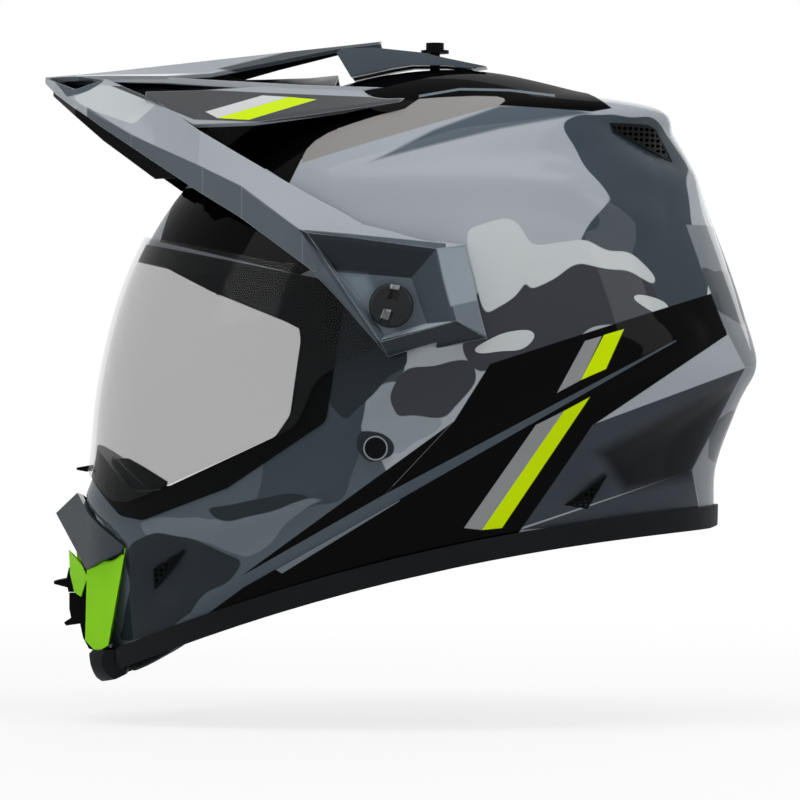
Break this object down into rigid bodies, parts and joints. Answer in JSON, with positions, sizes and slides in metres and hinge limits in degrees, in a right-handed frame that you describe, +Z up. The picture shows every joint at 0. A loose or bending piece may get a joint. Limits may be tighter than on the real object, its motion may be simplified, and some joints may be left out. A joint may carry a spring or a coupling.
{
  "type": "dual sport helmet",
  "caption": "Full-face dual sport helmet with a tilting peak, a clear face shield that lifts, a chin vent with a slider, trim, lining and strap.",
  "frame": {"origin": "under the middle of the helmet's overall box, level with the lowest point of the chin", "axes": "+Z up as worn, -X the way the face looks, -Y the wearer's left"},
  "size_m": [0.355, 0.2706, 0.3188],
  "materials": {
    "shell_paint": "gloss lacquer over a moulded shell",
    "peak_paint": "gloss lacquer",
    "peak_black": "semi-gloss black",
    "tail_paint": "satin dark slate",
    "trim_rubber": "matt black rubber",
    "gasket_rubber": "matt black rubber",
    "guard_rubber": "matt black rubber",
    "clear_shield": "clear polycarbonate",
    "black_plastic": "matt black",
    "screw_plastic": "satin black",
    "brass_insert": "turned",
    "plated_steel": "satin plated",
    "rivet_black": "black coated steel",
    "vent_cover_paint": "satin navy slate",
    "vent_green": "gloss green",
    "foam_black": "moulded foam",
    "slip_sheet": "thin moulded sheet",
    "lining_fabric": "brushed fabric over soft foam",
    "webbing": "woven webbing",
    "mesh_black": "black mesh"
  },
  "bodies": {
    "helmet": {"outer_shell": "shell_paint", "edge_trim": "trim_rubber", "chin_skirt": "trim_rubber", "chin_curtain": "lining_fabric", "eyeport_gasket": "gasket_rubber", "breath_guard": "guard_rubber", "shield_hub_left": "black_plastic", "shield_hub_right": "black_plastic", "side_inserts": "brass_insert", "top_insert": "brass_insert", "impact_liner": "foam_black", "slip_liner": "slip_sheet", "crown_pad": "lining_fabric", "brow_pad": "lining_fabric", "neck_roll": "lining_fabric", "chin_foam": "foam_black", "cheek_foam_left": "foam_black", "cheek_foam_right": "foam_black", "cheek_pad_left": "lining_fabric", "cheek_pad_right": "lining_fabric", "strap_rivets": "rivet_black", "strap_plates": "plated_steel", "strap_left": "webbing", "strap_right": "webbing", "chin_vent_cover": "vent_cover_paint", "chin_vent_wedge_left": "vent_green", "chin_vent_wedge_right": "vent_green", "chin_vent_grille": "black_plastic", "rear_upper_meshes": "mesh_black", "rear_lower_meshes": "mesh_black", "chin_side_meshes": "mesh_black"},
    "shield": {"face_shield": "clear_shield", "shield_lift_tab": "black_plastic"},
    "peak": {"peak": "peak_paint", "peak_liner": "peak_black", "peak_tail": "tail_paint"},
    "left_screw": {"side_screw_left": "screw_plastic"},
    "right_screw": {"side_screw_right": "screw_plastic"},
    "top_knob": {"top_screw": "screw_plastic", "top_washer": "black_plastic"},
    "vent_slider": {"chin_vent_slider": "black_plastic"},
    "upper_ring": {"d_ring_upper": "plated_steel"},
    "lower_ring": {"d_ring_lower": "plated_steel"}
  },
  "joints": [
    {"name": "shield_hinge", "type": "hinge", "parent": "helmet", "child": "shield", "pos_m": [0.0016, 0, 0.1842], "axis": [0, 1, 0], "range_deg": [0, 34]},
    {"name": "peak_tilt", "type": "hinge", "parent": "helmet", "child": "peak", "pos_m": [0.0016, 0, 0.1842], "axis": [0, 1, 0], "range_deg": [-4, 0]},
    {"name": "left_screw_turn", "type": "hinge", "parent": "helmet", "child": "left_screw", "pos_m": [0.0016, 0, 0.1842], "axis": [0, -1, 0], "continuous": true},
    {"name": "right_screw_turn", "type": "hinge", "parent": "helmet", "child": "right_screw", "pos_m": [0.0016, 0, 0.1842], "axis": [0, 1, 0], "continuous": true},
    {"name": "top_screw_turn", "type": "hinge", "parent": "helmet", "child": "top_knob", "pos_m": [0.0175, 0, 0.3], "axis": [0, 0, 1], "continuous": true},
    {"name": "vent_slide", "type": "slide", "parent": "helmet", "child": "vent_slider", "axis": [0, 0, 1], "range_m": [0, 0.008]},
    {"name": "upper_ring_swing", "type": "hinge", "parent": "helmet", "child": "upper_ring", "pos_m": [-0.0066, -0.07089, 0.07043], "axis": [1, 0, 0], "range_deg": [0, 25]},
    {"name": "lower_ring_swing", "type": "hinge", "parent": "helmet", "child": "lower_ring", "pos_m": [-0.0066, -0.07311, 0.06797], "axis": [1, 0, 0], "range_deg": [-25, 0]}
  ]
}
